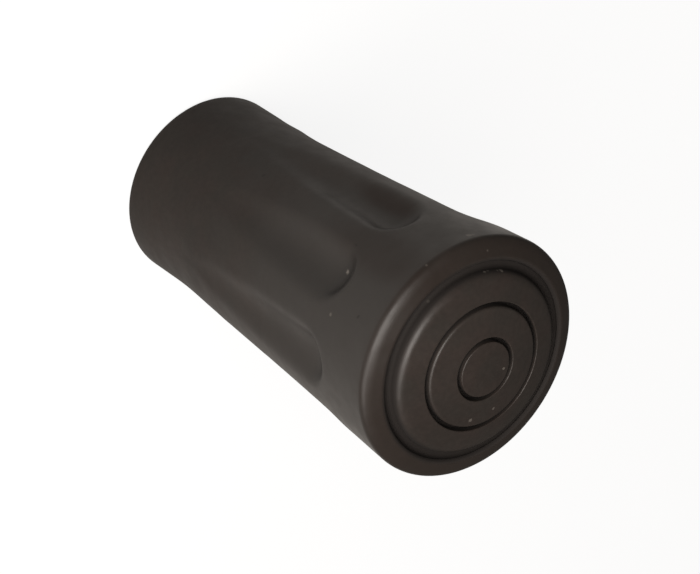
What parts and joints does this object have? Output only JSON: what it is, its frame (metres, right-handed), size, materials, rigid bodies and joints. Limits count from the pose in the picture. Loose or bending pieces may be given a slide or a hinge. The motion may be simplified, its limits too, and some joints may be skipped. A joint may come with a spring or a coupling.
{
  "type": "trekking pole rubber tip",
  "caption": "Flared rubber ferrule with teardrop flutes, a domed sole with three ring grooves and a blind socket that presses onto a pole's end.",
  "frame": {"origin": "centre of the mouth's flat face, where the pole goes in", "axes": "+Z along the body's axis, from the mouth to the sole; +X and -Y along ridges, midway between two flutes"},
  "size_m": [0.0278, 0.0278, 0.0515],
  "materials": {
    "moulded_rubber": "matte, faintly grained, warm black"
  },
  "bodies": {
    "root": {"rubber_tip": "moulded_rubber"}
  },
  "joints": []
}
